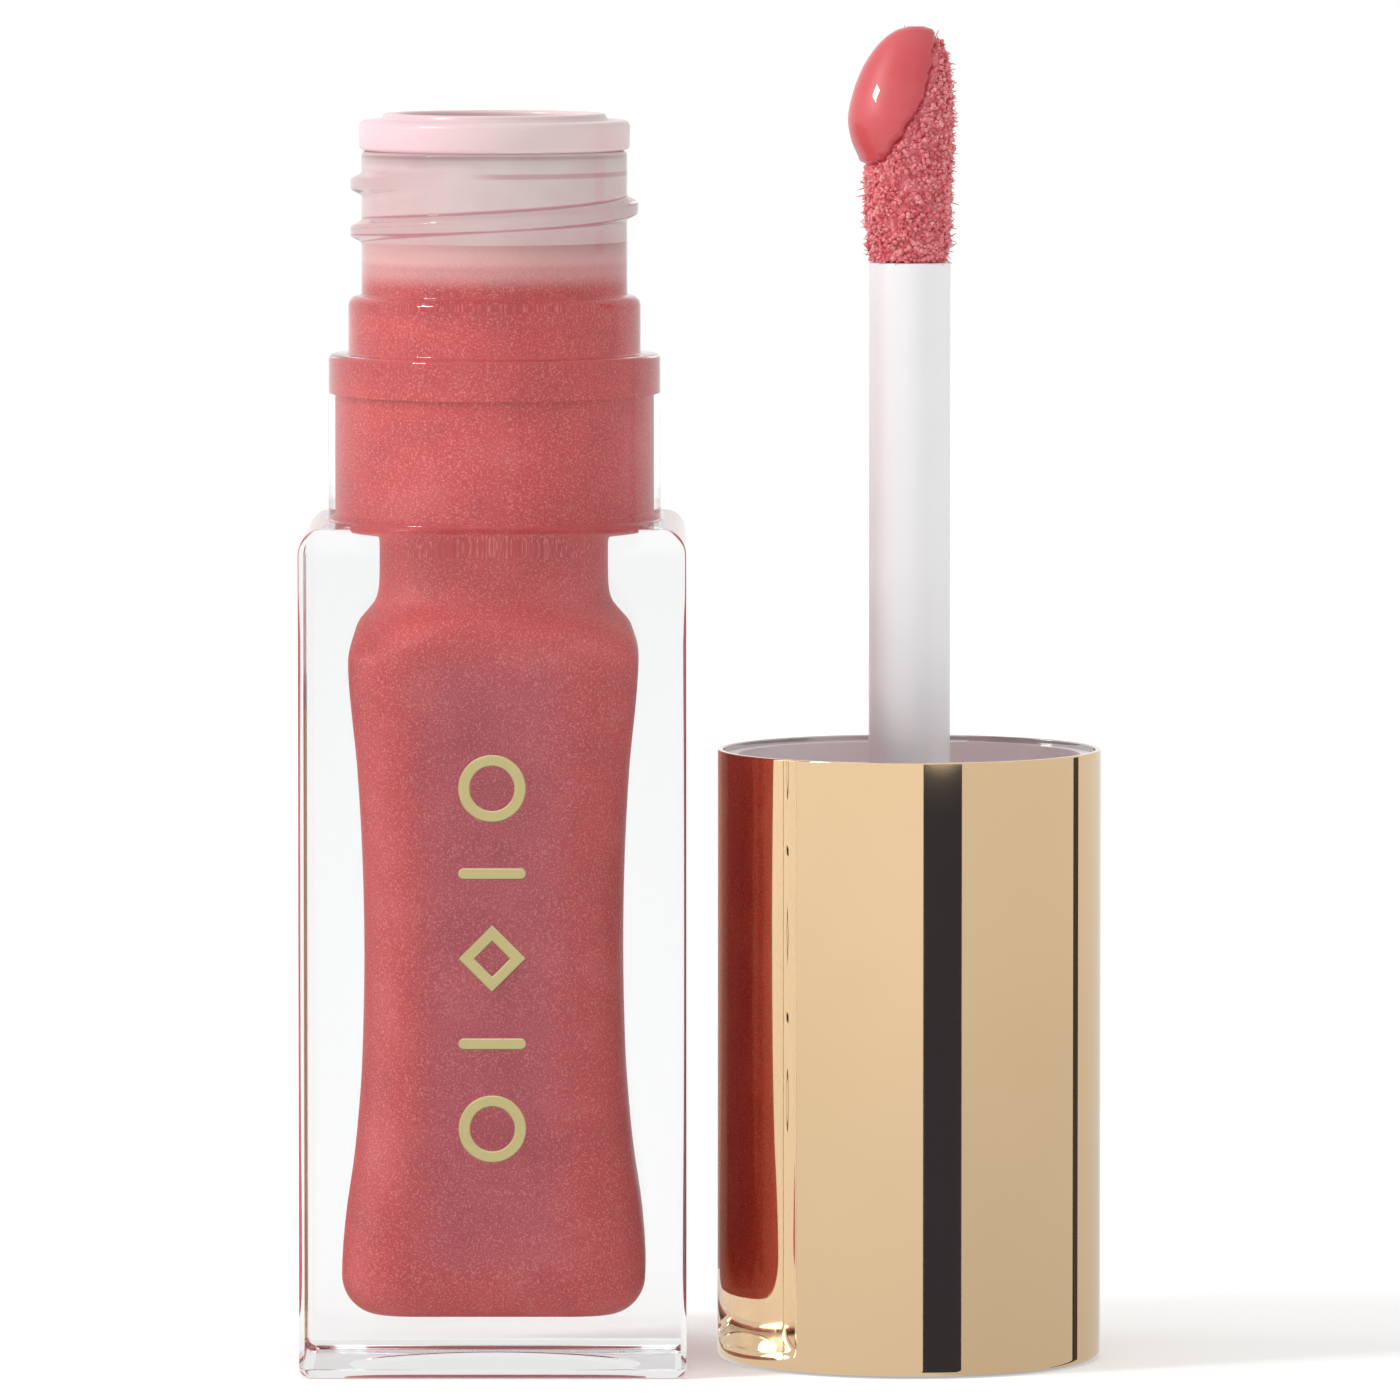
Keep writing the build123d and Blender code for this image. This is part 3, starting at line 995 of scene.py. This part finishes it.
# %% The room: white to the lens, dimmer to matt surfaces, graded to polished ones
world = bpy.data.worlds.new("white_room")
world.use_nodes = True
room = Nodes(world.node_tree)
direction = room.node("ShaderNodeTexCoord").wire("Generated")
split = room.node("ShaderNodeSeparateXYZ", None, {"Vector": direction})
aside, up = split.wire("X"), split.wire("Z")
rays = room.node("ShaderNodeLightPath")
matt, seen = rays.wire("Is Diffuse Ray"), rays.wire("Is Camera Ray")
graded = (up.between(-0.13, -0.07) * 0.2 + 0.8) * (aside.between(0.35, 0.1) * 0.2 + 0.8)
ROOM_MATT, ROOM_SEEN = 0.44, 1.0
level = graded * (1 - matt) * (1 - seen) + matt * ROOM_MATT + seen * ROOM_SEEN
glow = room.node("ShaderNodeBackground", None, {"Color": (1, 1, 1, 1), "Strength": level})
world_output = room.tree.nodes.new("ShaderNodeOutputWorld")
room.tree.links.new(glow.node.outputs[0], world_output.inputs["Surface"])
bpy.context.scene.world = world

# %% Lamps
MIDDLE = (0.015, 0, 0.05)


def add_lamp(name, light, place):
    """Puts a lamp at a place and aims it at the middle of the object."""
    lamp = bpy.data.objects.new(name, light)
    bpy.context.scene.collection.objects.link(lamp)
    lamp.location = place
    towards = Vector(MIDDLE) - Vector(place)
    lamp.rotation_euler = towards.to_track_quat("-Z", "Y").to_euler()
    return lamp


def from_cap(azimuth, elevation, distance):
    """A place by its direction from the middle, azimuth growing to the lens's right."""
    side, rise = math.radians(azimuth), math.radians(elevation)
    flat = math.cos(rise) * distance
    x, y, z = MIDDLE
    return (x + flat * math.sin(side), y - flat * math.cos(side), z + distance * math.sin(rise))


def soft_box(name, place, width, height, watts):
    """A rectangular lamp."""
    light = bpy.data.lights.new(name, "AREA")
    light.shape = "RECTANGLE"
    light.size, light.size_y = width, height
    light.energy = watts
    add_lamp(name, light, place)


def wash(name, azimuth, elevation, strength):
    """A broad distant light that shades matt surfaces and leaves no mirror image."""
    sun = bpy.data.lights.new(name, "SUN")
    sun.energy, sun.angle = strength, math.radians(40)
    add_lamp(name, sun, from_cap(azimuth, elevation, 1.0)).visible_glossy = False


soft_box("key_box", from_cap(-66, 40, 1.5), 0.26, 0.24, 7.5)
wash("left_wash", -82, 20, 1.3)
wash("right_wash", 84, 20, 0.3)
wash("top_wash", 0, 78, 0.5)


# %% [markdown]
# ## Camera
# A long lens, a little above the object and tilted down to it, keeps the bottle's sides near parallel.

# %% Camera
camera_data = bpy.data.cameras.new("camera")
camera_data.sensor_width = 36.0
camera_data.lens = 345.9
camera_data.clip_start = 0.01
camera_data.clip_end = 50.0
camera = bpy.data.objects.new("camera", camera_data)
bpy.context.scene.collection.objects.link(camera)
camera.location = (0.0107, -0.700, 0.0856)
camera.rotation_euler = (math.radians(90 - 4.18), 0, 0)
bpy.context.scene.camera = camera
bpy.context.scene.view_settings.view_transform = "Standard"
